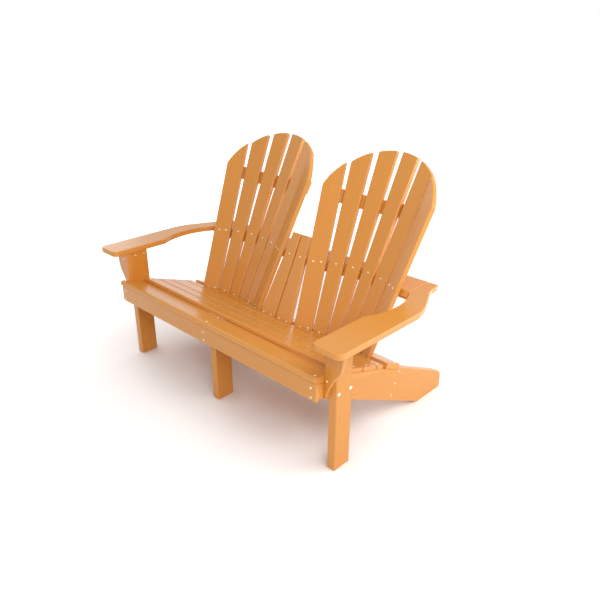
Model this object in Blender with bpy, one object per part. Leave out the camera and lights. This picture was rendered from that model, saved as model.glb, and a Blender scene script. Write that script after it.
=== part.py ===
"""A two-seat garden bench with two fan-shaped backs, built from poly lumber boards and steel screws.

Metres, +Z up. The sitter faces -Y, and left and right are as seen from the front. Heights are measured from the
floor and depths from the front faces of the front legs. Everything hangs on one empty that puts the origin on
the floor under the middle of the bench. Boards that only touch keep the gap called FIT.
"""

from math import acos, asin, atan2, cos, pi, radians, sin, tan

import bmesh
import bpy
from mathutils import Matrix, Vector

# Lumber
STOCK = 0.0381
LEG_WIDTH = 0.0889
BOARD = 0.0254
WIDE_BOARD = 0.1397
APRON_THICK = 0.022
SEAT_THICK = 0.0185
BACK_THICK = 0.0222
EASE = 0.0025
FIT = 0.0003

# Seat and base
HALF_SEAT = 0.6438
SEAT_TILT = radians(19.2)
SEAT_LEVEL = 0.4140
STEP_DEPTH = 0.060
STRINGER_REACH = 0.048
APRON_BOTTOM = 0.331
STRINGER_RISE = 0.0076
NOSE_RADIUS = 0.009
SLAT_LAP = 0.003
SEAT_GAP = 0.00635
SEAT_SHARES = (0.2549, 0.2549, 0.3237)
SEAT_BACK_GAP = 0.003
NOTCH_SETBACK = 0.0082
NOTCH_TILT = radians(24.0)
NOTCH_STEP = 0.0095
LOWER_RAIL_WIDTH = 0.0985
REAR_REACH = 0.812
FOOT_LENGTH = 0.183
HEEL_TALL = 0.0826
HEEL_RADIUS = 0.040
BRACE_RISE = 0.007

# Arms
ARM_UNDER = 0.560
ARM_FRONT = 0.094
ARM_OVERHANG = 0.0078
ARM_JOINT_INSET = 0.0138
ARM_SPREAD = 0.1375
ARM_CORNER = 0.028
BRACKET_TALL = 0.231
BRACKET_REACH = 0.085

# Backs
MIDDLE_ROOM = 0.0322
FAN_MARGIN = 0.0963
BACK_RISE = 0.0265
BACK_LEAN = radians(26.3)
FAN_DEPTH = 0.553
WIDEN_SHARE = 0.3285
ARC_TURNS = (radians(32.05), radians(18.83), radians(6.11))
FACE_TURNS = (radians(30.4), radians(13.6), radians(6.6))
SPREAD_SHARES = (0.1256, 0.0992, 0.0341)
SLAT_SHARES = (0.2252, 0.1943, 0.1798)
TAPER_SHARES = (0.0053, 0.0322, 0.0354)
ARCH_MARGIN = 0.0905
ARCH_CENTRE = 0.2445
CENTRE_LEAD = 0.0724
CENTRE_TOP = 0.680
CENTRE_GAP = 0.008
CENTRE_WIDTH = 0.0515
FLARE_SHARE = 0.116
ARM_RAIL_WIDTH = 0.097
UNDER_RAIL_LEAD = 0.028
UPPER_RAIL_LOW = 0.263
UPPER_RAIL_TALL = 0.0635
UPPER_RAIL_INSET = 0.042

# Places that follow from those sizes
ARM_INNER = HALF_SEAT - ARM_OVERHANG
ARM_JOINT = HALF_SEAT - ARM_JOINT_INSET
ARM_REAR = FAN_DEPTH + ARM_RAIL_WIDTH
BACK_LEVEL = ARM_UNDER + BACK_RISE
FAN_CENTRE = (HALF_SEAT + MIDDLE_ROOM) / 2
FAN_RADIUS = (FAN_CENTRE - MIDDLE_ROOM - FAN_MARGIN) / sin(ARC_TURNS[0])
SLAT_WIDTHS = [FAN_RADIUS * share for share in SLAT_SHARES]
ARCH_RADIUS = FAN_RADIUS * sin(ARC_TURNS[0]) + ARCH_MARGIN
CENTRE_DEPTH = FAN_DEPTH - CENTRE_LEAD
UNDER_RAIL_DEPTH = FAN_DEPTH - UNDER_RAIL_LEAD

# Screws and bolts
SCREW_RADIUS = 0.0021
SCREW_HEAD = 0.0045
SCREW_DOME = 0.0022
END_BITE = 0.030
HOLE_DEPTH_GAP = 0.001
BRACE_SCREW_SPACING = 0.054
BOLT_RADIUS = 0.0046
BOLT_HEAD = 0.0078
BOLT_DOME = 0.0045
BOLT_END = 0.003
BOLT_DEPTH_SHARES = (0.15, 0.90)
BOLT_HEIGHT = 0.346
NUT_RADIUS = 0.0082
NUT_TALL = 0.0075

LUMBER = (0.660, 0.215, 0.052)
STEEL = (0.560, 0.550, 0.520)

KINDS = range(len(SLAT_SHARES))
SIDES = (("left", -1), ("right", 1))


def principled(name, colour, roughness, metallic):
    """A plain Principled material of one colour."""
    made = bpy.data.materials.new(name)
    made.use_nodes = True
    shader = made.node_tree.nodes["Principled BSDF"]
    shader.inputs["Base Color"].default_value = (*colour, 1)
    shader.inputs["Roughness"].default_value = roughness
    shader.inputs["Metallic"].default_value = metallic
    made.diffuse_color = (*colour, 1)
    return made


def add_piece(name, bm, material):
    """Turns a bmesh into an object of the bench, with its faces turned outwards."""
    bmesh.ops.recalc_face_normals(bm, faces=bm.faces)
    mesh = bpy.data.meshes.new(name)
    bm.to_mesh(mesh)
    bm.free()
    mesh.shade_smooth()
    mesh.set_sharp_from_angle(angle=radians(30))
    piece = bpy.data.objects.new(name, mesh)
    bpy.context.scene.collection.objects.link(piece)
    piece.parent = bpy.data.objects["loveseat"]
    if material:
        mesh.materials.append(material)
    return piece


def skin(bm, rings):
    """Closes a row of rings, each with the same number of points, into one body."""
    loops = [[bm.verts.new(point) for point in ring] for ring in rings]
    for near, far in zip(loops, loops[1:]):
        for here, there in zip(range(-1, len(near)), range(len(near))):
            bm.faces.new((near[here], near[there], far[there], far[here]))
    bm.faces.new(loops[0])
    bm.faces.new(loops[-1])


def lumber(name, rings, ease=EASE):
    """A board whose edges are eased, from two outlines that face each other."""
    bm = bmesh.new()
    skin(bm, rings)
    board = add_piece(name, bm, principled(name + "_lumber", LUMBER, 0.35, 0))
    edge = board.modifiers.new("eased_edges", "BEVEL")
    edge.width = ease
    edge.segments = 1
    edge.limit_method = "ANGLE"
    edge.angle_limit = radians(50)
    return board


def across(outline, start, end):
    """Two copies of an outline in depth and height, at two places along the bench."""
    return [[(x, y, z) for y, z in outline] for x in (start, end)]


def upright(outline, low, high):
    """Two copies of a plan outline, at two heights."""
    return [[(x, y, z) for x, y in outline] for z in (low, high)]


def block(name, low, high):
    """A straight board between two corners."""
    (x0, y0, z0), (x1, y1, z1) = low, high
    return lumber(name, upright([(x0, y0), (x1, y0), (x1, y1), (x0, y1)], z0, z1))


def fillet(before, corner, after, radius, steps=3):
    """The arc that rounds one corner of an outline."""
    corner = Vector(corner)
    back = (Vector(before) - corner).normalized()
    ahead = (Vector(after) - corner).normalized()
    half = back.angle(ahead) / 2
    centre = corner + (back + ahead).normalized() * radius / sin(half)
    start = corner + back * radius / tan(half) - centre
    turn = atan2(*reversed(start)), atan2(*reversed(corner + ahead * radius / tan(half) - centre))
    sweep = (turn[1] - turn[0] + pi) % (2 * pi) - pi
    return [tuple(centre + Matrix.Rotation(sweep * step / steps, 2) @ start) for step in range(steps + 1)]


def smooth(points, steps=3):
    """A smooth curve through the points of an outline, ends included."""
    places = [Vector(point) for point in points]
    places = [2 * places[0] - places[1], *places, 2 * places[-1] - places[-2]]
    curve = []
    for a, b, c, d in zip(places, places[1:], places[2:], places[3:]):
        for step in range(steps):
            t = step / steps
            bend = (2 * a - 5 * b + 4 * c - d) * t * t + (3 * b - a - 3 * c + d) * t ** 3
            curve.append(tuple(b + ((c - a) * t + bend) / 2))
    return [*curve, tuple(places[-2])]


# A sloping board has a frame: a corner in depth and height, and the tilt at which it falls to the rear. A point
# of it is given as a run back along the board and a rise square to it.


def on_frame(frame, run, rise):
    """Depth and height of a point of a sloping board."""
    (depth, height), tilt = frame
    return depth + run * cos(tilt) + rise * sin(tilt), height - run * sin(tilt) + rise * cos(tilt)


def at_depth(frame, depth, rise):
    """Height of a sloping board's layer at a given depth."""
    (corner, height), tilt = frame
    return height - (depth - corner) * tan(tilt) + rise / cos(tilt)


def frame_axes(frame):
    """A sloping board's corner, its direction to the rear and its upward normal, in space."""
    (depth, height), tilt = frame
    return Vector((0, depth, height)), Vector((0, cos(tilt), -sin(tilt))), Vector((0, sin(tilt), cos(tilt)))


def centre_run(frame, rise, behind):
    """Run at which a sloping board meets the centre slats' front faces, or a plane behind them."""
    corner, back, normal = frame_axes(frame)
    start = corner + normal * rise
    face = Vector((0, cos(BACK_LEAN), -sin(BACK_LEAN)))
    return (Vector((0, CENTRE_DEPTH, BACK_LEVEL)) + face * behind - start).dot(face) / back.dot(face)


SEAT = ((STEP_DEPTH, SEAT_LEVEL - STEP_DEPTH * tan(SEAT_TILT)), SEAT_TILT)
NOTCH = (on_frame(SEAT, centre_run(SEAT, 0, 0) + NOTCH_SETBACK, 0), NOTCH_TILT)
ARM = ((0, ARM_UNDER), 0)
UNDER_ARM = ((0, ARM_UNDER - FIT - BOARD), 0)
BACK = ((FAN_DEPTH, BACK_LEVEL), BACK_LEAN)


def slat_frame(kind, side):
    """One fan slat about the fan's centre plane: its place at the back level, and its up, across and back."""
    swing = 1 - cos(ARC_TURNS[kind])
    place = Vector((side * FAN_RADIUS * sin(ARC_TURNS[kind]), FAN_DEPTH - FAN_RADIUS * swing, BACK_LEVEL))
    up = Vector((side * SPREAD_SHARES[kind], tan(BACK_LEAN) - WIDEN_SHARE * swing, 1)).normalized()
    flat = Vector((cos(FACE_TURNS[kind]), -side * sin(FACE_TURNS[kind]), 0))
    back = up.cross(flat).normalized()
    return place, up, back.cross(up).normalized(), back


def slat_line(kind, side, share, depth):
    """Start and direction of a line up a fan slat: share runs from -1 to 1 over its width."""
    place, up, flat, back = slat_frame(kind, side)
    start = place + flat * share * SLAT_WIDTHS[kind] / 2 + back * depth
    return start, up + flat * share * TAPER_SHARES[kind] / 2


def slat_meets(kind, side, share, depth, frame, rise):
    """Where a line up a fan slat meets a sloping board's layer."""
    corner, back, normal = frame_axes(frame)
    start, climb = slat_line(kind, side, share, depth)
    return start + climb * (corner + normal * rise - start).dot(normal) / climb.dot(normal)


def plan_of(point, frame):
    """Offset along the bench and run of a point, seen square to a sloping board."""
    corner, back, normal = frame_axes(frame)
    return Vector((point.x, (point - corner).dot(back)))


def slat_edges(frame, rise, depth):
    """The edges of a fan's slats at one layer, from its left, at a depth behind their front faces."""
    slats = [(kind, -1) for kind in KINDS] + [(kind, 1) for kind in reversed(KINDS)]
    return [plan_of(slat_meets(*slat, share, depth, frame, rise), frame) for slat in slats for share in (-1, 1)]


def arc_before(frame, rise):
    """Centre run and radius of the arc that stays in front of the fan slats' front faces."""
    middles = [plan_of(slat_meets(kind, 1, 0, 0, frame, rise), frame) for kind in KINDS]
    centre = (middles[0].length_squared - middles[2].length_squared) / (middles[0].y - middles[2].y) / 2
    reach = []
    for kind in KINDS:
        low, high = (plan_of(slat_meets(kind, 1, share, 0, frame, rise), frame) for share in (-1, 1))
        run = (high - low).normalized()
        reach.append(abs(run.cross(low - Vector((0, centre)))))
    return centre, min(reach)


ARC_STEPS = 12


def scalloped_edge(half, straight, centre, radius):
    """An edge along the bench that is straight but for one arc round each fan, as offset and run."""
    turn = acos((straight - centre) / radius)
    edge = [(-half, straight)]
    for fan in (-FAN_CENTRE, FAN_CENTRE):
        for step in range(ARC_STEPS + 1):
            angle = turn * (2 * step / ARC_STEPS - 1)
            edge.append((fan + radius * sin(angle), max(centre + radius * cos(angle), straight)))
    return [*edge, (half, straight)]


def rail_ring(frame, rise, half, straight, rear):
    """Outline, at one layer, of a rail whose front edge follows the rear faces of both backs."""
    edges = slat_edges(frame, rise, BACK_THICK + FIT)
    edge = [(fan + x, max(run, straight)) for fan in (-FAN_CENTRE, FAN_CENTRE) for x, run in edges]
    return on_layer(frame, rise, [(-half, straight), *edge, (half, straight), (half, rear), (-half, rear)])


def on_layer(frame, rise, outline):
    """An outline of offsets and runs, in space."""
    return [(x, *on_frame(frame, run, rise)) for x, run in outline]


def fan_rail(name, frame, half, straight, rear):
    """A rail behind both backs; its front edge is bevelled to their lean."""
    rises = (FIT, FIT + BOARD) if frame is NOTCH else (0, BOARD)
    return lumber(name, [rail_ring(frame, rise, half, straight(rise), rear) for rise in rises])


# Base


def stringer_outline():
    """Side view of a stringer, from the front end's lower corner round by the foot."""
    foot = REAR_REACH - FOOT_LENGTH
    rail_rear = centre_run(NOTCH, FIT, BACK_THICK) + FIT + LOWER_RAIL_WIDTH + FIT
    step = on_frame(NOTCH, rail_rear, NOTCH_STEP)
    heel = (REAR_REACH, HEEL_TALL)
    ledge = -BOARD - FIT
    return [
        (-STRINGER_REACH, APRON_BOTTOM + STRINGER_RISE),
        (foot, 0),
        (REAR_REACH, 0),
        *fillet((REAR_REACH, 0), heel, step, HEEL_RADIUS),
        step,
        on_frame(NOTCH, rail_rear, 0),
        NOTCH[0],
        SEAT[0],
        on_frame(SEAT, 0, ledge),
        (-STRINGER_REACH, at_depth(SEAT, -STRINGER_REACH, ledge)),
    ]


def stringers():
    """Three side rails: they carry the seat and reach back to the floor."""
    outline = stringer_outline()
    starts = (-HALF_SEAT, -STOCK / 2, HALF_SEAT - STOCK)
    return [
        lumber("stringer_" + name, across(outline, start, start + STOCK))
        for name, start in zip(("left", "centre", "right"), starts)
    ]


def front_legs():
    """Outer legs carry the arms; the centre leg stands beside the middle stringer under the front board."""
    for name, side in SIDES:
        inner = side * (HALF_SEAT + FIT)
        outer = side * (HALF_SEAT + FIT + STOCK)
        block("front_leg_" + name, (min(inner, outer), 0, 0), (max(inner, outer), LEG_WIDTH, ARM_UNDER - FIT))
    top = -BOARD - FIT
    outline = [(0, 0), (LEG_WIDTH, 0), (LEG_WIDTH, at_depth(SEAT, LEG_WIDTH, top)), (0, at_depth(SEAT, 0, top))]
    beside = -STOCK / 2 - FIT
    lumber("front_leg_centre", across(outline, beside - STOCK, beside))


def front_apron():
    """The upright board across the stringers' front ends, bevelled under the front board."""
    rear = -STRINGER_REACH - FIT
    front = rear - APRON_THICK
    ledge = -BOARD - FIT
    outline = [
        (front, APRON_BOTTOM),
        (rear, APRON_BOTTOM),
        (rear, at_depth(SEAT, rear, ledge)),
        (front, at_depth(SEAT, front, ledge)),
    ]
    lumber("front_apron", across(outline, -HALF_SEAT, HALF_SEAT))


def front_board():
    """The wide board at the seat's front, let in flush with the stringers' seat line, with a rounded nose."""
    run = -WIDE_BOARD
    corners = [on_frame(SEAT, *place) for place in ((-FIT, -BOARD), (run, -BOARD), (run, 0), (-FIT, 0))]
    nose = [*fillet(*corners[:3], NOSE_RADIUS), *fillet(*corners[1:], NOSE_RADIUS)]
    lumber("front_seat_board", across([corners[0], *nose, corners[3]], -HALF_SEAT, HALF_SEAT))


def seat_runs():
    """Front and rear of each seat slat along the slope; the last one ends short of the centre slats."""
    runs = []
    front = -SLAT_LAP
    end = centre_run(SEAT, FIT, 0) - SEAT_BACK_GAP
    room = end - front - SEAT_GAP * len(SEAT_SHARES)
    for share in SEAT_SHARES:
        width = room * share
        runs.append((front, front + width))
        front += width + SEAT_GAP
    return [*runs, (front, end)]


def seat_slats():
    """Four seat slats; the last reaches back in an arc to each fan."""
    layers = (FIT, FIT + SEAT_THICK)
    runs = seat_runs()
    for number, (front, rear) in enumerate(runs[:-1], 1):
        plan = [(-HALF_SEAT, front), (HALF_SEAT, front), (HALF_SEAT, rear), (-HALF_SEAT, rear)]
        lumber(f"seat_slat_{number}", [on_layer(SEAT, layer, plan) for layer in layers])
    front, rear = runs[-1]
    rings = []
    for layer in layers:
        centre, radius = arc_before(SEAT, layer)
        edge = scalloped_edge(HALF_SEAT, rear, centre, radius - SEAT_BACK_GAP)
        rings.append(on_layer(SEAT, layer, [*edge, (HALF_SEAT, front), (-HALF_SEAT, front)]))
    lumber("seat_slat_4", rings)


def lower_rail():
    """The rail behind the backs' lower ends, let into the stringers."""
    rear = centre_run(NOTCH, FIT, BACK_THICK) + FIT + LOWER_RAIL_WIDTH
    fan_rail("lower_back_rail", NOTCH, HALF_SEAT, lambda rise: centre_run(NOTCH, rise, BACK_THICK) + FIT, rear)


def brace_frame():
    """Corner of the braces: their front face starts behind the lower rail and follows the backs' lean."""
    rear = centre_run(NOTCH, FIT, BACK_THICK) + FIT + LOWER_RAIL_WIDTH
    return (on_frame(NOTCH, rear, FIT), BACK_LEAN)


def braces():
    """Two boards between the stringers, under the lower rail's rear edge."""
    frame = brace_frame()
    corners = ((FIT, BRACE_RISE), (FIT + BOARD, BRACE_RISE), (FIT + BOARD, BRACE_RISE - WIDE_BOARD))
    outline = [on_frame(frame, *corner) for corner in (*corners, (FIT, BRACE_RISE - WIDE_BOARD))]
    inner, outer = STOCK / 2 + FIT, HALF_SEAT - STOCK - FIT
    lumber("rear_brace_left", across(outline, -outer, -inner))
    lumber("rear_brace_right", across(outline, inner, outer))


# Arms

# Shares of the arm's greatest width and of its length, from its inner line and its front.
ARM_OUTER_SHARES = (
    (1.000, 0.581),
    (0.989, 0.616),
    (0.949, 0.653),
    (0.865, 0.706),
    (0.735, 0.758),
    (0.549, 0.831),
    (0.433, 0.866),
    (0.342, 0.913),
)
ARM_INNER_SHARES = (
    (0.000, 0.390),
    (0.116, 0.433),
    (0.218, 0.489),
    (0.279, 0.556),
    (0.285, 0.624),
    (0.234, 0.684),
    (0.127, 0.742),
)
ARM_FRONT_SHARE = 0.978
ARM_TAIL_SHARE = 0.293
BRACKET_SHARES = (
    (0.094, 0.000),
    (0.153, 0.121),
    (0.288, 0.242),
    (0.470, 0.372),
    (0.670, 0.480),
    (0.850, 0.578),
    (0.940, 0.680),
    (0.985, 0.800),
    (1.000, 1.000),
)


def arm_place(share):
    """Plan place of a share of the right arm's width and length."""
    return ARM_INNER + share[0] * ARM_SPREAD, share[1] * (ARM_FRONT + ARM_REAR) - ARM_FRONT


def arm_outline():
    """Plan of the right arm, from its inner front corner round by the outer edge."""
    corner = (ARM_INNER + ARM_FRONT_SHARE * ARM_SPREAD, -ARM_FRONT)
    outer = [arm_place(share) for share in ARM_OUTER_SHARES]
    inner = [arm_place(share) for share in ARM_INNER_SHARES]
    joint = (ARM_JOINT, centre_run(ARM, BOARD, BACK_THICK) + FIT)
    return [
        *fillet(inner[0], (ARM_INNER, -ARM_FRONT), corner, ARM_CORNER, 4),
        *fillet((ARM_INNER, -ARM_FRONT), corner, outer[0], ARM_CORNER, 4),
        *smooth(outer),
        (ARM_INNER + ARM_TAIL_SHARE * ARM_SPREAD, ARM_REAR),
        (ARM_JOINT, ARM_REAR),
        *reversed(smooth([*inner, joint])),
    ]


def arms():
    """Two arms: broad over the legs, then bent in to butt against the plank between them."""
    for name, side in SIDES:
        plan = [(side * x, y) for x, y in arm_outline()]
        lumber("arm_" + name, upright(plan, ARM_UNDER, ARM_UNDER + BOARD))


def arm_supports():
    """A curved bracket on each outer leg's front, and a cleat on its outer side."""
    low = ARM_UNDER - FIT - BRACKET_TALL
    curve = smooth([(reach * BRACKET_REACH, low + rise * BRACKET_TALL) for reach, rise in BRACKET_SHARES], 2)
    for name, side in SIDES:
        inner = side * (HALF_SEAT + FIT)
        outline = [(inner, low), *((inner + side * reach, z) for reach, z in curve), (inner, ARM_UNDER - FIT)]
        rings = [[(x, y, z) for x, z in outline] for y in (-FIT - BOARD, -FIT)]
        lumber("arm_bracket_" + name, rings)
        start = inner + side * (STOCK + FIT)
        end = start + side * STOCK
        high = ARM_UNDER - FIT
        block("arm_cleat_" + name, (min(start, end), 0, high - STOCK), (max(start, end), LEG_WIDTH, high))


def arm_level_rails():
    """The plank between the arms, level with them, and the board that backs it from below."""
    half = ARM_JOINT - FIT
    fan_rail("arm_level_rail", ARM, half, lambda rise: centre_run(ARM, rise, BACK_THICK) + FIT, ARM_REAR)
    fan_rail("arm_level_under_rail", UNDER_ARM, half, lambda rise: UNDER_RAIL_DEPTH, ARM_REAR)


# Backs


def meets_arch(start, climb):
    """The point where a line up a slat meets the round top of its fan."""
    corner, back, normal = frame_axes(BACK)
    up = Vector((start.x, (start - corner).dot(normal) - ARCH_CENTRE))
    grow = Vector((climb.x, climb.dot(normal)))
    half = up.dot(grow)
    root = (half * half - grow.length_squared * (up.length_squared - ARCH_RADIUS ** 2)) ** 0.5
    return start + climb * (root - half) / grow.length_squared


TOP_STEPS = 4


def slat_outline(kind, side):
    """Front outline of a fan slat, about the fan's centre plane."""
    place, up, flat, back = slat_frame(kind, side)
    foot = slat_meets(kind, side, 0, 0, NOTCH, FIT)
    low = (foot - place).dot(up)
    ends = [start + climb * low for start, climb in (slat_line(kind, side, share, 0) for share in (-1, 1))]
    shares = [1 - 2 * step / TOP_STEPS for step in range(TOP_STEPS + 1)]
    return [*ends, *(meets_arch(*slat_line(kind, side, share, 0)) for share in shares)]


def fan_numbers():
    """Number, kind and side of a fan's six slats, from its left edge."""
    return [(number, min(number, 7 - number) - 1, -1 if number < 4 else 1) for number in range(1, 7)]


def fan_slats():
    """Six slats in each back; each stands on the fan's arc and is cut to its round top."""
    for name, fan in SIDES:
        for number, kind, side in fan_numbers():
            shift = Vector((fan * FAN_CENTRE, 0, 0))
            back = slat_frame(kind, side)[3]
            front = [point + shift for point in slat_outline(kind, side)]
            lumber(f"{name}_back_slat_{number}", [front, [point + back * BACK_THICK for point in front]])


def centre_slats():
    """Two short slats between the fans; they widen downwards and stand on the middle stringer's notch."""
    frame = ((CENTRE_DEPTH, BACK_LEVEL), BACK_LEAN)
    corner, back, normal = frame_axes(frame)
    top = (CENTRE_TOP - BACK_LEVEL) / cos(BACK_LEAN)
    sole = on_frame(NOTCH, centre_run(NOTCH, FIT, BACK_THICK), FIT)
    low = (Vector((0, *sole)) - corner).dot(normal)
    inner = CENTRE_GAP / 2
    outer = inner + CENTRE_WIDTH
    foot = outer + (top - low) * cos(BACK_LEAN) * FLARE_SHARE
    for name, side in SIDES:
        plan = ((inner, low), (foot, low), (outer, top), (inner, top))
        rings = [[(side * x, *on_frame(frame, run, rise)) for x, rise in plan] for run in (0, BACK_THICK)]
        lumber("centre_slat_" + name, rings)


def upper_rails():
    """A curved rail behind each fan, square to its lean, with its front along the slats' rear faces."""
    for name, fan in SIDES:
        rings = []
        for rise in (UPPER_RAIL_LOW, UPPER_RAIL_LOW + UPPER_RAIL_TALL):
            front = slat_edges(BACK, rise, BACK_THICK + FIT)
            for end, beside in ((0, 1), (-1, -2)):
                front[end] += (front[beside] - front[end]).normalized() * UPPER_RAIL_INSET
            end, middle = front[-1], (front[5] + front[6]) / 2
            centre = (end.length_squared - middle.length_squared) / (end.y - middle.y) / 2
            radius = middle.y - centre + BOARD
            turn = asin(end.x / radius)
            angles = [turn * (1 - 2 * step / ARC_STEPS) for step in range(ARC_STEPS + 1)]
            rear = [(radius * sin(angle), centre + radius * cos(angle)) for angle in angles]
            rings.append(on_layer(BACK, rise, [(fan * FAN_CENTRE + x, run) for x, run in (*front, *rear)]))
        lumber(name + "_upper_back_rail", rings)


# Screws and bolts. Each has a seat: the point of the surface under its head and the direction in which it is
# driven. The bolts, their nuts and the braces' screws are modelled, each as its own object.

HEAD_SIDES = 12
SHANK_SIDES = 6
HEAD_TOP_SHARE = 0.55


def turned_ring(bm, seat, along, radius, sides):
    """A ring of points round a screw's axis."""
    point, way = seat
    turn = way.to_track_quat("Z", "Y")
    angles = [2 * pi * step / sides for step in range(sides)]
    spots = [point + way * along + turn @ Vector((radius * cos(a), radius * sin(a), 0)) for a in angles]
    return [bm.verts.new(spot) for spot in spots]


def join_rings(bm, first, second):
    """A band of triangles between two rings round one axis, which may differ in their number of points."""
    a = b = 0
    while a < len(first) or b < len(second):
        one, two = first[a % len(first)], second[b % len(second)]
        if b == len(second) or (a < len(first) and (a + 1) / len(first) <= (b + 1) / len(second)):
            bm.faces.new((one, first[(a + 1) % len(first)], two))
            a += 1
        else:
            bm.faces.new((one, second[(b + 1) % len(second)], two))
            b += 1


def fixing(name, seat, length, radius, head, dome):
    """One screw or bolt: a domed head over a plain shank."""
    bm = bmesh.new()
    rings = [
        turned_ring(bm, seat, -FIT - dome, head * HEAD_TOP_SHARE, HEAD_SIDES),
        turned_ring(bm, seat, -FIT, head, HEAD_SIDES),
        turned_ring(bm, seat, -FIT, radius, SHANK_SIDES),
        turned_ring(bm, seat, length, radius, SHANK_SIDES),
    ]
    bm.faces.new(rings[0])
    for first, second in zip(rings, rings[1:]):
        join_rings(bm, first, second)
    bm.faces.new(rings[-1])
    add_piece(name, bm, principled(name + "_steel", STEEL, 0.35, 1))


def bore(boards, name, seats, length, radius):
    """Cuts the holes of a set of screws or bolts into the boards that they pass through."""
    bm = bmesh.new()
    for seat in seats:
        rings = [turned_ring(bm, seat, along, radius + FIT, SHANK_SIDES) for along in (-BOARD, length)]
        bm.faces.new(rings[0])
        join_rings(bm, *rings)
        bm.faces.new(rings[1])
    cutter = add_piece(name + "_holes", bm, None)
    cutter.hide_render = True
    cutter.display_type = "WIRE"
    for board in boards:
        cut = bpy.data.objects[board].modifiers.new(name, "BOOLEAN")
        cut.operation = "DIFFERENCE"
        cut.solver = "EXACT"
        cut.object = cutter


def leg_bolts():
    """Two bolts through each leg and its stringer, with a nut on the stringer's other face."""
    near = 2 * STOCK + 2 * FIT
    length = near + NUT_TALL + BOLT_END
    faces = (
        ("left", -HALF_SEAT - FIT - STOCK, 1),
        ("centre", -STOCK * 3 / 2 - FIT, 1),
        ("right", HALF_SEAT + FIT + STOCK, -1),
    )
    for name, face, way in faces:
        way = Vector((way, 0, 0))
        seats = [(Vector((face, share * LEG_WIDTH, BOLT_HEIGHT)), way) for share in BOLT_DEPTH_SHARES]
        for number, seat in enumerate(seats, 1):
            fixing(f"leg_bolt_{name}_{number}", seat, length, BOLT_RADIUS, BOLT_HEAD, BOLT_DOME)
            nut(f"leg_nut_{name}_{number}", seat, near)
        bore(("front_leg_" + name, "stringer_" + name), "leg_bolts_" + name, seats, length, BOLT_RADIUS)


def nut(name, seat, near):
    """A nut on a bolt's end."""
    bm = bmesh.new()
    far = near + NUT_TALL
    hole = BOLT_RADIUS + FIT
    sizes = ((NUT_RADIUS, near), (NUT_RADIUS, far), (hole, far), (hole, near))
    rings = [turned_ring(bm, seat, along, radius, SHANK_SIDES) for radius, along in sizes]
    for first, second in zip(rings, rings[1:] + rings[:1]):
        join_rings(bm, first, second)
    add_piece(name, bm, principled(name + "_steel", STEEL, 0.35, 1))


def brace_screws():
    """Three screws through each outer stringer into the end of its brace."""
    frame = brace_frame()
    middle = BRACE_RISE - WIDE_BOARD / 2
    rises = [middle + step * BRACE_SCREW_SPACING for step in (1, 0, -1)]
    length = STOCK + END_BITE
    for name, side in SIDES:
        places = [Vector((side * HALF_SEAT, *on_frame(frame, FIT + BOARD / 2, rise))) for rise in rises]
        seats = [(place, Vector((-side, 0, 0))) for place in places]
        for number, seat in enumerate(seats, 1):
            fixing(f"brace_screw_{name}_{number}", seat, length, SCREW_RADIUS, SCREW_HEAD, SCREW_DOME)
        boards = ("stringer_" + name, "rear_brace_" + name)
        bore(boards, "brace_screws_" + name, seats, length + HOLE_DEPTH_GAP, SCREW_RADIUS)


def clear_scene():
    """Removes what the file held before."""
    for old in list(bpy.data.objects):
        bpy.data.objects.remove(old)


def build():
    """Builds the bench."""
    clear_scene()
    root = bpy.data.objects.new("loveseat", None)
    bpy.context.scene.collection.objects.link(root)
    root.location.y = (ARM_FRONT - REAR_REACH) / 2
    stringers()
    front_legs()
    front_apron()
    front_board()
    seat_slats()
    lower_rail()
    braces()
    arms()
    arm_supports()
    arm_level_rails()
    fan_slats()
    centre_slats()
    upper_rails()
    leg_bolts()
    brace_screws()


build()
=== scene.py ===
from math import cos, pi, radians, sin

import bmesh
import bpy
import numpy as np
from mathutils import Matrix, Quaternion, Vector
from mathutils.bvhtree import BVHTree


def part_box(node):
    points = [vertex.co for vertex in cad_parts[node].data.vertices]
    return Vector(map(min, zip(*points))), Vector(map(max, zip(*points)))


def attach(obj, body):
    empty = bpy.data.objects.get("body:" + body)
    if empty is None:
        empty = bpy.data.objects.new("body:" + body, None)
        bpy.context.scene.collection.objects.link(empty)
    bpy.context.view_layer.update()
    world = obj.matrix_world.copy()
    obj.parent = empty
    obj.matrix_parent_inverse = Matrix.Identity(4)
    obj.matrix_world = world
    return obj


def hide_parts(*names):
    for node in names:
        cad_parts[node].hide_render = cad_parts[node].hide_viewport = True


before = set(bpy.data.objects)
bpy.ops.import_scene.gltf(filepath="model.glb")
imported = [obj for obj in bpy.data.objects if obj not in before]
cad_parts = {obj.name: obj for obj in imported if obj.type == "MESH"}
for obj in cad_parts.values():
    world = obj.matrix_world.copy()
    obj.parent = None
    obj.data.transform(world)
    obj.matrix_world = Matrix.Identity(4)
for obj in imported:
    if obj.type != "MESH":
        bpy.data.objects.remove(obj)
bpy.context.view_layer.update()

# CAMERA
# It stands where the photographer stood: at about eye height, off the bench's right front corner. Its
# place, turn and lens come from the legs, arms and back slats of the bench as they lie in the photograph.

CAMERA_PLACE = (1.8550, -1.7748, 1.5676)
CAMERA_YAW = radians(43.804)
CAMERA_PITCH = radians(-24.556)
CAMERA_ROLL = radians(0.174)
SENSOR_MM = 36
LENS_MM = 35.96

camera_data = bpy.data.cameras.new("camera")
camera_data.sensor_width = SENSOR_MM
camera_data.lens = LENS_MM
camera = bpy.data.objects.new("camera", camera_data)
bpy.context.scene.collection.objects.link(camera)
camera.location = CAMERA_PLACE
level_view = Matrix.Rotation(CAMERA_YAW, 4, "Z") @ Matrix.Rotation(pi / 2 + CAMERA_PITCH, 4, "X")
camera.rotation_mode = "QUATERNION"
camera.rotation_quaternion = level_view.to_quaternion() @ Quaternion((0, 0, 1), CAMERA_ROLL)
bpy.context.scene.camera = camera

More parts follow.
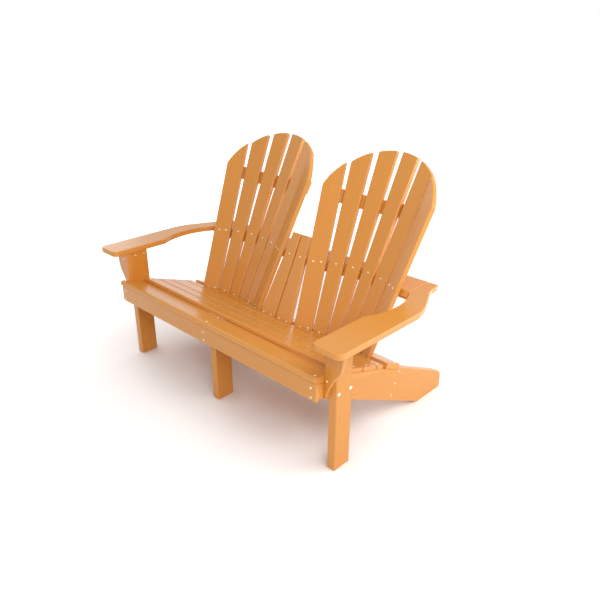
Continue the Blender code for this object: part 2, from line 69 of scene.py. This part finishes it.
# STRINGERS
# Three long side rails of 1.5 inch poly lumber, sawn to the seat's slope and to a flat foot behind. Poly
# lumber is solid orange plastic. It is extruded, so it is smooth and faintly streaked along its run, with
# routed edges and sawn ends.

LUMBER_COLOUR = (0.700, 0.284, 0.041)
STREAK_COLOUR = (0.692, 0.280, 0.0402)
# Routed edge faces are painted this lighter colour: a painted sheen along the board's edges.
EDGE_SHEEN_COLOUR = (0.730, 0.312, 0.060)
LUMBER_GLOSS = (0.26, 0.29)
SAWN_END_ROUGHNESS = 0.46
SAWN_FACING = (0.80, 0.90)
LUMBER_IOR = 1.50
# Each noise is its stretch along the board, its bumps per metre across it, and its detail.
STREAKS = (30, 70, 2)
CLOUDS = (3, 9, 2)
CLOUD_SHARE = 0.45
POLISH = (12, 24, 1)
SKIN = (14, 300, 1)
WAVES = (6, 16, 1)
# Each bump is its strength and its height in metres.
SKIN_BUMP = (0.008, 0.0004)
WAVE_BUMP = (0.02, 0.002)
PATTERN_STEP = 0.37
EDGE_ROUNDING = 0.0009
EASED_EDGE_TURNS = (radians(24), radians(60))
SMOOTH_TURN = radians(34)
FLAT_TURN = radians(0.4)
SAME_POINT = 1e-5


def board_run(mesh):
    """The direction in which a board was extruded: that of its greatest length."""
    points = np.array([vertex.co for vertex in mesh.vertices])
    return Vector(np.linalg.svd(points - points.mean(0), full_matrices=False)[2][0]).normalized()


def poly_lumber(name, run, shift):
    """The finish of one board: its own part of a pattern that follows the board's run, and sawn ends."""
    finish = bpy.data.materials.new(name)
    finish.use_nodes = True
    tree = finish.node_tree
    shader = tree.nodes["Principled BSDF"]
    shader.inputs["IOR"].default_value = LUMBER_IOR
    add, link = tree.nodes.new, tree.links.new
    place = add("ShaderNodeTexCoord")
    turned = add("ShaderNodeMapping")
    turned.vector_type = "TEXTURE"
    turned.inputs["Rotation"].default_value = run.to_track_quat("X", "Z").to_euler()
    turned.inputs["Location"].default_value = (shift, 2 * shift, 3 * shift)
    link(place.outputs["Object"], turned.inputs["Vector"])

    def noise(stretch, size, detail):
        """A noise that is stretched along the board; size is in bumps per metre across it."""
        scaled = add("ShaderNodeMapping")
        scaled.inputs["Scale"].default_value = (size / stretch, size, size)
        link(turned.outputs["Vector"], scaled.inputs["Vector"])
        texture = add("ShaderNodeTexNoise")
        texture.inputs["Scale"].default_value = 1
        texture.inputs["Detail"].default_value = detail
        link(scaled.outputs["Vector"], texture.inputs["Vector"])
        return texture.outputs["Fac"]

    def ranged(value, low, high, start=0.3, end=0.7):
        """A noise brought to the range from low to high."""
        bent = add("ShaderNodeMapRange")
        bent.inputs["From Min"].default_value = start
        bent.inputs["From Max"].default_value = end
        bent.inputs["To Min"].default_value = low
        bent.inputs["To Max"].default_value = high
        link(value, bent.inputs["Value"])
        return bent.outputs["Result"]

    def mixed(kind, share, first, second):
        """A mix of two colours or two numbers, each of which is a value or a socket."""
        mix = add("ShaderNodeMix")
        mix.data_type = kind
        spots = (0, 2, 3) if kind == "FLOAT" else (0, 6, 7)
        for spot, given in zip(spots, (share, first, second)):
            if isinstance(given, bpy.types.NodeSocket):
                link(given, mix.inputs[spot])
            else:
                mix.inputs[spot].default_value = given if kind == "FLOAT" or spot == 0 else (*given, 1)
        return mix.outputs[0 if kind == "FLOAT" else 2]

    pattern = mixed("FLOAT", CLOUD_SHARE, ranged(noise(*STREAKS), 0, 1), ranged(noise(*CLOUDS), 0, 1))
    body = mixed("RGBA", pattern, LUMBER_COLOUR, STREAK_COLOUR)
    # The routed edge faces are painted lighter, as a painted sheen along the edges.
    routed = add("ShaderNodeAttribute")
    routed.attribute_name = "routed"
    with_painted_sheen = mixed("RGBA", routed.outputs["Fac"], body, EDGE_SHEEN_COLOUR)
    link(with_painted_sheen, shader.inputs["Base Color"])

    facing = add("ShaderNodeVectorMath")
    facing.operation = "DOT_PRODUCT"
    link(place.outputs["Normal"], facing.inputs[0])
    facing.inputs[1].default_value = run
    size = add("ShaderNodeMath")
    size.operation = "ABSOLUTE"
    link(facing.outputs["Value"], size.inputs[0])
    sawn = ranged(size.outputs[0], 0, 1, *SAWN_FACING)
    polish = ranged(noise(*POLISH), *LUMBER_GLOSS)
    link(mixed("FLOAT", sawn, polish, SAWN_END_ROUGHNESS), shader.inputs["Roughness"])

    below = None
    for (strength, height), shape in ((SKIN_BUMP, SKIN), (WAVE_BUMP, WAVES)):
        bump = add("ShaderNodeBump")
        bump.inputs["Strength"].default_value = strength
        bump.inputs["Distance"].default_value = height
        link(noise(*shape), bump.inputs["Height"])
        if below:
            link(below.outputs["Normal"], bump.inputs["Normal"])
        below = bump
    link(below.outputs["Normal"], shader.inputs["Normal"])
    finish.diffuse_color = (*LUMBER_COLOUR, 1)
    return finish


def ease_board(node):
    """A board in place of its CAD node, whose eased edges are rounded over, as a router bit leaves them."""
    bm = bmesh.new()
    bm.from_mesh(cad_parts[node].data)
    bmesh.ops.remove_doubles(bm, verts=bm.verts, dist=SAME_POINT)
    bmesh.ops.dissolve_limit(bm, angle_limit=FLAT_TURN, verts=bm.verts, edges=bm.edges)
    rounding = bm.edges.layers.float.new("bevel_weight_edge")
    routed = bm.faces.layers.float.new("routed")
    low, high = EASED_EDGE_TURNS
    eased = {edge for edge in bm.edges if edge.is_convex and low < edge.calc_face_angle(0) < high}
    for edge in eased:
        edge[rounding] = 1
    # Faces of the routed edges are marked for the painted sheen that the finish lays on them.
    for face in bm.faces:
        face[routed] = 1 if sum(edge in eased for edge in face.edges) > 1 and len(face.edges) < 6 else 0
    mesh = bpy.data.meshes.new(node + "_board")
    bm.to_mesh(mesh)
    bm.free()
    mesh.shade_smooth()
    mesh.set_sharp_from_angle(angle=SMOOTH_TURN)
    board = bpy.data.objects.new(node + "_board", mesh)
    bpy.context.scene.collection.objects.link(board)
    bevel = board.modifiers.new("rounding", "BEVEL")
    bevel.limit_method = "WEIGHT"
    bevel.width = EDGE_ROUNDING
    bevel.segments = 2
    normals = board.modifiers.new("flat_faces", "WEIGHTED_NORMAL")
    normals.keep_sharp = True
    shift = PATTERN_STEP * len(bpy.data.materials)
    mesh.materials.append(poly_lumber(node + "_poly_lumber", board_run(mesh), shift))
    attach(board, "root")
    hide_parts(node)
    return board


for side in ("left", "centre", "right"):
    ease_board("stringer_" + side)

# FRONT LEGS
# Straight posts of 1.5 by 3.5 inch poly lumber, sawn square. The outer two carry the arms; the centre one
# stops under the seat's front board.

for side in ("left", "centre", "right"):
    ease_board("front_leg_" + side)

# LEG BOLTS
# Two stainless bolts with round heads go through each leg and its stringer, with a washer and a nut inside.

STEEL_COLOUR = (0.800, 0.762, 0.710)
STEEL_ROUGHNESS = (0.26, 0.42)
SCRATCHES_PER_METRE = 900
SCRATCH_DETAIL = 4
# The strength of the scratches' bump and its height in metres.
SCRATCH_BUMP = (0.15, 0.00005)
BOLT_SIDES = 32
# The steps, in radians from its middle, at which the domed head has a ring.
DOME_STEPS = (0.12, 0.40, 0.70, 1.0, 1.3)
HEAD_RIM = 0.0004
HEAD_SEAT_SHARE = 0.97
SHANK_SHARE = 0.59
TIP_LENGTH = 0.001
TIP_SHARE = 0.8
NUT_POINTS = 36
WASHER_RADIUS = 0.0082
WASHER_SHARE = 0.18
NUT_FACE_SHARE = 0.86
NUT_EDGE_SHARE = 0.92
THREAD_ROOM = 0.0001


def stainless_steel(name):
    """Bright stainless steel with the fine scratches of a driver and of weather."""
    finish = bpy.data.materials.new(name)
    finish.use_nodes = True
    tree = finish.node_tree
    shader = tree.nodes["Principled BSDF"]
    shader.inputs["Base Color"].default_value = (*STEEL_COLOUR, 1)
    shader.inputs["Metallic"].default_value = 1
    place = tree.nodes.new("ShaderNodeTexCoord")
    scratches = tree.nodes.new("ShaderNodeTexNoise")
    scratches.inputs["Scale"].default_value = SCRATCHES_PER_METRE
    scratches.inputs["Detail"].default_value = SCRATCH_DETAIL
    tree.links.new(place.outputs["Object"], scratches.inputs["Vector"])
    spread = tree.nodes.new("ShaderNodeMapRange")
    spread.inputs["To Min"].default_value, spread.inputs["To Max"].default_value = STEEL_ROUGHNESS
    tree.links.new(scratches.outputs["Fac"], spread.inputs["Value"])
    tree.links.new(spread.outputs["Result"], shader.inputs["Roughness"])
    bump = tree.nodes.new("ShaderNodeBump")
    bump.inputs["Strength"].default_value, bump.inputs["Distance"].default_value = SCRATCH_BUMP
    tree.links.new(scratches.outputs["Fac"], bump.inputs["Height"])
    tree.links.new(bump.outputs["Normal"], shader.inputs["Normal"])
    finish.diffuse_color = (*STEEL_COLOUR, 1)
    return finish


def ring_points(seat, way, rise, shape):
    """One ring of a turned piece, at a rise above its seat; shape gives the radius at each step round it."""
    turn = way.to_track_quat("Z", "Y")
    angles = [2 * pi * i / len(shape) for i in range(len(shape))]
    return [seat + turn @ Vector((r * cos(angle), r * sin(angle), rise)) for r, angle in zip(shape, angles)]


def turn_piece(bm, seat, way, rings):
    """Adds one closed turned body; each ring is a rise and the radii round it, in order along the body."""
    loops = [[bm.verts.new(point) for point in ring_points(seat, way, rise, shape)] for rise, shape in rings]
    for near, far in zip(loops, loops[1:]):
        for i in range(len(near)):
            bm.faces.new((near[i - 1], near[i], far[i], far[i - 1]))
    bm.faces.new(loops[0])
    bm.faces.new(loops[-1])


def steel_piece(name, bm, nodes=()):
    """A finished steel piece, or a set of like ones, in place of the CAD nodes that it stands for."""
    bmesh.ops.recalc_face_normals(bm, faces=bm.faces)
    mesh = bpy.data.meshes.new(name)
    bm.to_mesh(mesh)
    bm.free()
    mesh.shade_smooth()
    mesh.set_sharp_from_angle(angle=SMOOTH_TURN)
    piece = bpy.data.objects.new(name, mesh)
    bpy.context.scene.collection.objects.link(piece)
    mesh.materials.append(stainless_steel(name + "_stainless_steel"))
    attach(piece, "root")
    if nodes:
        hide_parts(*nodes)
    return piece


def round_ring(radius, points=BOLT_SIDES):
    """The radii of a round ring of a bolt or a washer."""
    return [radius] * points


def hex_ring(radius):
    """The radii of a six-sided ring of a nut, whose corners lie at that radius."""
    corner = pi / 3
    turns = [(2 * pi * i / NUT_POINTS) % corner - corner / 2 for i in range(NUT_POINTS)]
    return [radius * cos(corner / 2) / cos(turn) for turn in turns]


for side, head_way in (("left", -1), ("centre", -1), ("right", 1)):
    for number in (1, 2):
        low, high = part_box(f"leg_bolt_{side}_{number}")
        middle = (low + high) / 2
        outer, inner = (high.x, low.x) if head_way > 0 else (low.x, high.x)
        head_radius = (high.z - low.z) / 2
        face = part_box("front_leg_" + side)[1 if head_way > 0 else 0].x
        seat = Vector((face, middle.y, middle.z))
        way = Vector((head_way, 0, 0))
        dome = abs(outer - face)
        reach = abs(inner - face)
        shank = head_radius * SHANK_SHARE
        rings = [(dome * cos(step), round_ring(head_radius * sin(step))) for step in DOME_STEPS]
        rings += [(HEAD_RIM, round_ring(head_radius)), (0, round_ring(head_radius * HEAD_SEAT_SHARE))]
        rings += [(0, round_ring(shank)), (TIP_LENGTH - reach, round_ring(shank))]
        rings.append((-reach, round_ring(shank * TIP_SHARE)))
        bm = bmesh.new()
        turn_piece(bm, seat, way, rings)
        steel_piece(f"carriage_bolt_{side}_{number}", bm, [f"leg_bolt_{side}_{number}"])
        low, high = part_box(f"leg_nut_{side}_{number}")
        start, end = (high.x, low.x) if head_way > 0 else (low.x, high.x)
        seat = Vector((start, middle.y, middle.z))
        tall = abs(end - start)
        corner = (high.y - low.y) / 2
        washer = tall * WASHER_SHARE
        disc = round_ring(WASHER_RADIUS, NUT_POINTS)
        hole = round_ring(shank + THREAD_ROOM, NUT_POINTS)
        face_ring = round_ring(corner * NUT_FACE_SHARE, NUT_POINTS)
        edge_ring = hex_ring(corner)
        bm = bmesh.new()
        turn_piece(bm, seat, -way, [(0, hole), (0, disc), (washer, disc), (washer, hole)])
        nut = [(tall, hole), (tall, face_ring), (tall * NUT_EDGE_SHARE, edge_ring)]
        turn_piece(bm, seat, -way, nut + [(washer, edge_ring), (washer, hole)])
        steel_piece(f"nut_and_washer_{side}_{number}", bm, [f"leg_nut_{side}_{number}"])

# FRONT APRON
# The poly lumber board across the stringers' front ends. Two stainless pan head screws in each stringer's
# end hold it.

SCREW_RADIUS = 0.0044
SCREW_TALL = 0.0023
SCREW_SIDES = 24
SCREW_SINK = 0.0001
SOCKET_SHARE = 0.30
SOCKET_FLOOR = 0.35
SOCKET_RIM = 0.97
# The pan head's outline, from its top down, as shares of its height and of its radius.
PAN_OUTLINE = ((1.0, 0.56), (0.93, 0.74), (0.74, 0.90), (0.42, 0.99), (0.12, 1.0))
PAN_SEAT_SHARE = 0.97
POINT_SHARE = 0.6
# Coordinates well before, behind, above and below the screwed boards, from which each screw's place is
# sought.
BEFORE, BEHIND, ABOVE, BELOW = -1, 2, 1, 0.2


def screw_rings(shank=0, length=0):
    """The rings of a pan head with a square socket, with a plain shank under it if one is asked for."""
    turns = [2 * pi * i / SCREW_SIDES for i in range(SCREW_SIDES)]
    half = SCREW_RADIUS * SOCKET_SHARE
    square = [half / max(abs(cos(turn + pi / 4)), abs(sin(turn + pi / 4))) for turn in turns]
    rings = [(SCREW_TALL * SOCKET_FLOOR, square), (SCREW_TALL * SOCKET_RIM, square)]
    for rise, reach in PAN_OUTLINE:
        rings.append((SCREW_TALL * rise, round_ring(SCREW_RADIUS * reach, SCREW_SIDES)))
    rings.append((-SCREW_SINK, round_ring(SCREW_RADIUS * PAN_SEAT_SHARE, SCREW_SIDES)))
    if shank:
        rings.append((-SCREW_SINK, round_ring(shank, SCREW_SIDES)))
        rings.append((-length, round_ring(shank * POINT_SHARE, SCREW_SIDES)))
    return rings


def driven(node, start, way):
    """Where a screw driven from start along way meets a board, and the way its head faces there."""
    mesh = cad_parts[node].data
    tree = BVHTree.FromPolygons([v.co for v in mesh.vertices], [p.vertices for p in mesh.polygons])
    spot, facing, _, _ = tree.ray_cast(Vector(start), Vector(way))
    return spot, facing


def pan_screws(name, drives):
    """A set of screws of one joint, from the board, the start and the way of each."""
    bm = bmesh.new()
    for node, start, way in drives:
        spot, facing = driven(node, start, way)
        turn_piece(bm, spot, facing, screw_rings())
    return steel_piece(name, bm)


ease_board("front_apron")
apron_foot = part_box("front_apron")[0].z
APRON_SCREW_PLACES = (-0.620, -0.005, 0.620)
APRON_SCREW_RISES = (0.015, 0.055)
pan_screws(
    "apron_screws",
    [
        ("front_apron", (x, BEFORE, apron_foot + rise), (0, 1, 0))
        for x in APRON_SCREW_PLACES
        for rise in APRON_SCREW_RISES
    ],
)

# FRONT SEAT BOARD
# The 5.5 inch board at the seat's front edge, its nose routed round. It laps over the apron and is
# screwed down from above.

ease_board("front_seat_board")
BOARD_SCREW_PLACES = ((-0.625, -0.414), (0.005, -0.414), (0.625, -0.414), (-0.040, -0.319))
pan_screws(
    "front_board_screws",
    [("front_seat_board", (x, y, ABOVE), (0, 0, -1)) for x, y in BOARD_SCREW_PLACES],
)

# SEAT SLATS
# Four thinner slats with a narrow gap between them, screwed down at their ends. The last is sawn round
# the foot of both backs.

SLAT_SINK = 0.00028
OUTER_STRINGERS = (-0.6248, 0.6248)
LAST_SLAT_SCREW_INSET = 0.022
for number in (1, 2, 3, 4):
    slat = ease_board(f"seat_slat_{number}")
    if number == 1:
        # The first slat is sunk on to the board it laps over, so that no light comes through the joint.
        slat.data.transform(Matrix.Translation((0, 0, -SLAT_SINK)))
slat_middles = [sum(corner.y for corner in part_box(f"seat_slat_{n}")) / 2 for n in (1, 2, 3)]
slat_middles.append(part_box("seat_slat_4")[0].y + LAST_SLAT_SCREW_INSET)
pan_screws(
    "seat_slat_screws",
    [
        (f"seat_slat_{n}", (x, y, ABOVE), (0, 0, -1))
        for n, y in enumerate(slat_middles, 1)
        for x in OUTER_STRINGERS
    ],
)

# LOWER BACK RAIL
# A wide board in the stringers' notches, sawn to the curve of both backs. Two screws hold it at each end,
# and two in the middle.

ease_board("lower_back_rail")
RAIL_SCREW_PLACES = (
    (0.616, 0.060),
    (0.630, 0.071),
    (-0.616, 0.060),
    (-0.630, 0.071),
    (-0.008, 0.062),
    (0.008, 0.071),
)
pan_screws(
    "lower_rail_screws",
    [("lower_back_rail", (x, y, ABOVE), (0, 0, -1)) for x, y in RAIL_SCREW_PLACES],
)

# REAR BRACES
# Two boards on edge between the stringers, behind the lower rail. Three screws through each outer
# stringer hold them.

LONG_SHANK_RADIUS = 0.0021
for side in ("left", "right"):
    ease_board("rear_brace_" + side)
    for number in (1, 2, 3):
        node = f"brace_screw_{side}_{number}"
        low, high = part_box(node)
        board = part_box("stringer_" + side)
        way = Vector((-1 if side == "left" else 1, 0, 0))
        face = board[0].x if side == "left" else board[1].x
        seat = Vector((face, (low.y + high.y) / 2, (low.z + high.z) / 2))
        reach = face - high.x if side == "left" else face - low.x
        bm = bmesh.new()
        turn_piece(bm, seat, way, screw_rings(LONG_SHANK_RADIUS, abs(reach)))
        steel_piece(f"long_screw_{side}_{number}", bm, [node])

# ARMS
# Broad boards, band-sawn to a bend: wide over the leg, then drawn in to the rail behind the backs.
# Brackets and cleats on the legs carry them, and all three are held by screws from the sides and from
# below.

for side in ("left", "right"):
    ease_board("arm_" + side)
    ease_board("arm_bracket_" + side)
    ease_board("arm_cleat_" + side)
BRACKET_SCREW_PLACES = ((0.6572, 0.410), (0.6758, 0.5285))
CLEAT_SCREW_PLACES = ((-0.3375, 0.541), (-0.2892, 0.541))
TAIL_SCREW_PLACES = ((0.219, 0.5745), (0.277, 0.5735))
INSIDE_LEGS, OUTSIDE_ARMS = 0.5, 0.9
ARM_SCREW_ACROSS = 0.7015
ARM_SCREW_PLACES = (-0.337, -0.289)
pan_screws(
    "bracket_screws",
    [
        ("arm_bracket_" + side, (sign * x, BEFORE, z), (0, 1, 0))
        for side, sign in (("left", -1), ("right", 1))
        for x, z in BRACKET_SCREW_PLACES
    ],
)
pan_screws(
    "cleat_screws",
    [
        ("front_leg_" + side, (sign * INSIDE_LEGS, y, z), (sign, 0, 0))
        for side, sign in (("left", -1), ("right", 1))
        for y, z in CLEAT_SCREW_PLACES
    ],
)
pan_screws(
    "arm_tail_screws",
    [
        ("arm_" + side, (sign * OUTSIDE_ARMS, y, z), (-sign, 0, 0))
        for side, sign in (("left", -1), ("right", 1))
        for y, z in TAIL_SCREW_PLACES
    ],
)
pan_screws(
    "arm_screws",
    [
        ("arm_cleat_" + side, (sign * ARM_SCREW_ACROSS, y, BELOW), (0, 0, 1))
        for side, sign in (("left", -1), ("right", 1))
        for y in ARM_SCREW_PLACES
    ],
)

# ARM LEVEL RAILS
# The plank that joins both arms behind the backs, and the board that stiffens it from below. Both are
# sawn to the backs' curves, and the lower one is screwed up into the plank and the arms.

ease_board("arm_level_rail")
ease_board("arm_level_under_rail")
UNDER_RAIL_SCREW_PLACES = (-0.58, -0.30, 0, 0.30, 0.58)
UNDER_RAIL_SCREW_DEPTH = 0.262
pan_screws(
    "under_rail_screws",
    [
        ("arm_level_under_rail", (x, UNDER_RAIL_SCREW_DEPTH, BELOW), (0, 0, 1))
        for x in UNDER_RAIL_SCREW_PLACES
    ],
)

# BACKS
# Each back is a fan of six tapered slats whose tops are sawn to one arch; two short slats fill the gap
# between the fans. Pan head screws hold every slat to the arm level plank and to the lower rail.

FAN_CENTRE = 0.338
ARM_LEVEL = 0.5864
# A slat's place across the fan at arm level and at the seat, the height of its lowest screw, and the
# spread of a pair of screws where the slat has two.
FAN_SCREW_PLACES = (
    (0.2075, 0.1712, 0.305, 0.0158),
    (0.1260, 0.0972, 0.299, 0),
    (0.0426, 0.0330, 0.292, 0),
)
CENTRE_SCREW_PLACES = ((0.0352, ARM_LEVEL), (0.028, 0.313), (0.076, 0.313))
arm_level_drives = []
seat_level_drives = []
for side, fan in (("left", -1), ("right", 1)):
    for number in range(1, 7):
        ease_board(f"{side}_back_slat_{number}")
        at_arm, at_seat, low_screw, spread = FAN_SCREW_PLACES[min(number, 7 - number) - 1]
        across = -1 if number < 4 else 1
        for offset in (-spread, spread) if spread else (0,):
            node = f"{side}_back_slat_{number}"
            x = fan * FAN_CENTRE + across * at_arm + offset
            arm_level_drives.append((node, (x, BEFORE, ARM_LEVEL), (0, 1, 0)))
            x = fan * FAN_CENTRE + across * at_seat + offset
            seat_level_drives.append((node, (x, BEFORE, low_screw), (0, 1, 0)))
    ease_board("centre_slat_" + side)
    for x, z in CENTRE_SCREW_PLACES:
        drives = arm_level_drives if z == ARM_LEVEL else seat_level_drives
        drives.append(("centre_slat_" + side, (fan * x, BEFORE, z), (0, 1, 0)))
pan_screws("arm_rail_screws", arm_level_drives)
pan_screws("lower_back_screws", seat_level_drives)

# UPPER BACK RAILS
# A poly lumber batten behind each fan, sawn to a curve. A screw from behind holds it to every slat.

UPPER_SCREW_LEVEL = 0.851
UPPER_SCREW_PLACES = (-0.222, -0.1527, -0.0513, 0.0513, 0.1527, 0.222)
for side, fan in (("left", -1), ("right", 1)):
    ease_board(side + "_upper_back_rail")
pan_screws(
    "upper_rail_screws",
    [
        (side + "_upper_back_rail", (fan * FAN_CENTRE + x, BEHIND, UPPER_SCREW_LEVEL), (0, -1, 0))
        for side, fan in (("left", -1), ("right", 1))
        for x in UPPER_SCREW_PLACES
    ],
)

# STUDIO
# A plain pale paper floor in a white surround. Three near soft boxes stand on the right, before the
# bench, behind it and above it, and two wide weak ones on the left. Away from the bench the paper fades
# into the white surround. Near the bench its glow is held down, and most where the bench closes it in,
# which is painted shade on the floor round and under the bench.

FLOOR_SIZE = 30
FLOOR_COLOUR = (0.85, 0.81, 0.795)
FLOOR_ROUGHNESS = 0.9
FLOOR_SPECULAR = 0.1
# The floor's glow towards white near the bench and far from it, and the distances between which it rises.
# The weaker glow near the bench is painted shade round it.
FLOOR_GLOW = (0.378, 1.0)
FLOOR_FADE = (0.9, 2.2)
FLOOR_MIDDLE = (0.10, 0.05, 0)
# How far the floor looks for the pieces that close it in, and the openness between which the glow comes in.
# Where the bench closes the floor in, the glow is held down, which is painted shade under the bench.
SHADE_REACH = 0.6
SHADE_OPEN = (0.29, 0.85)
SHADE_SAMPLES = 8
SKY_STRENGTH = 0.56
BENCH_MIDDLE = (0, 0, 0.45)
# Each lamp's place, target, size and power in watts.
LAMPS = {
    "key_light": ((2.6, -1.9, 2.4), BENCH_MIDDLE, 1.4, 42),
    "side_light": ((2.3, 1.6, 1.2), BENCH_MIDDLE, 1.4, 28),
    "top_light": ((1.8, -0.2, 2.6), BENCH_MIDDLE, 1.4, 16),
    "left_light": ((-4.3, 0.4, 1.6), BENCH_MIDDLE, 2.6, 24),
    "rear_light": ((-4.04, 1.77, 1.75), (-0.4, -0.1, 0.45), 2.4, 4),
}


def seen_directly(tree):
    """A socket that is 1 for what the camera or a glossy reflection sees, and 0 for all other light."""
    ray = tree.nodes.new("ShaderNodeLightPath")
    seen = tree.nodes.new("ShaderNodeMath")
    seen.operation = "MAXIMUM"
    tree.links.new(ray.outputs["Is Camera Ray"], seen.inputs[0])
    tree.links.new(ray.outputs["Is Glossy Ray"], seen.inputs[1])
    return seen.outputs[0]


def product(tree, first, second):
    """A socket that gives the product of two others."""
    times = tree.nodes.new("ShaderNodeMath")
    times.operation = "MULTIPLY"
    tree.links.new(first, times.inputs[0])
    tree.links.new(second, times.inputs[1])
    return times.outputs[0]


mesh = bpy.data.meshes.new("studio_floor")
half = FLOOR_SIZE / 2
corners = [(-half, -half, 0), (half, -half, 0), (half, half, 0), (-half, half, 0)]
mesh.from_pydata(corners, [], [(0, 1, 2, 3)])
studio_floor = bpy.data.objects.new("studio_floor", mesh)
bpy.context.scene.collection.objects.link(studio_floor)
paper = bpy.data.materials.new("backdrop_paper")
paper.use_nodes = True
tree = paper.node_tree
shader = tree.nodes["Principled BSDF"]
shader.inputs["Base Color"].default_value = (*FLOOR_COLOUR, 1)
shader.inputs["Roughness"].default_value = FLOOR_ROUGHNESS
shader.inputs["Specular IOR Level"].default_value = FLOOR_SPECULAR
spot = tree.nodes.new("ShaderNodeTexCoord")
away = tree.nodes.new("ShaderNodeVectorMath")
away.operation = "DISTANCE"
away.inputs[1].default_value = FLOOR_MIDDLE
tree.links.new(spot.outputs["Object"], away.inputs[0])
# The glow is weaker near the bench: painted shade round it.
fade = tree.nodes.new("ShaderNodeMapRange")
fade.interpolation_type = "SMOOTHSTEP"
fade.inputs["From Min"].default_value, fade.inputs["From Max"].default_value = FLOOR_FADE
fade.inputs["To Min"].default_value, fade.inputs["To Max"].default_value = FLOOR_GLOW
tree.links.new(away.outputs["Value"], fade.inputs["Value"])
# The glow is held down where the bench closes the floor in: painted shade under the bench.
shade = tree.nodes.new("ShaderNodeAmbientOcclusion")
shade.samples = SHADE_SAMPLES
shade.inputs["Distance"].default_value = SHADE_REACH
painted_shade_openness = tree.nodes.new("ShaderNodeMapRange")
painted_shade_openness.inputs["From Min"].default_value, painted_shade_openness.inputs["From Max"].default_value = SHADE_OPEN
tree.links.new(shade.outputs["AO"], painted_shade_openness.inputs["Value"])
glow_with_painted_shade = product(tree, fade.outputs["Result"], painted_shade_openness.outputs["Result"])
glow = tree.nodes.new("ShaderNodeEmission")
tree.links.new(product(tree, glow_with_painted_shade, seen_directly(tree)), glow.inputs["Strength"])
both = tree.nodes.new("ShaderNodeAddShader")
tree.links.new(shader.outputs[0], both.inputs[0])
tree.links.new(glow.outputs[0], both.inputs[1])
tree.links.new(both.outputs[0], tree.nodes["Material Output"].inputs["Surface"])
mesh.materials.append(paper)

for name, (place, target, size, power) in LAMPS.items():
    lamp = bpy.data.lights.new(name, "AREA")
    lamp.size = size
    lamp.energy = power
    light = bpy.data.objects.new(name, lamp)
    light.location = place
    light.rotation_euler = (Vector(target) - Vector(place)).to_track_quat("-Z", "Y").to_euler()
    bpy.context.scene.collection.objects.link(light)

world = bpy.data.worlds.new("white_surround")
bpy.context.scene.world = world
world.use_nodes = True
tree = world.node_tree
background = tree.nodes["Background"]
background.inputs["Color"].default_value = (1, 1, 1, 1)
level = tree.nodes.new("ShaderNodeMapRange")
level.inputs["To Min"].default_value = SKY_STRENGTH
level.inputs["To Max"].default_value = 1
tree.links.new(seen_directly(tree), level.inputs["Value"])
tree.links.new(level.outputs["Result"], background.inputs["Strength"])

bpy.context.scene.view_settings.view_transform = "Standard"
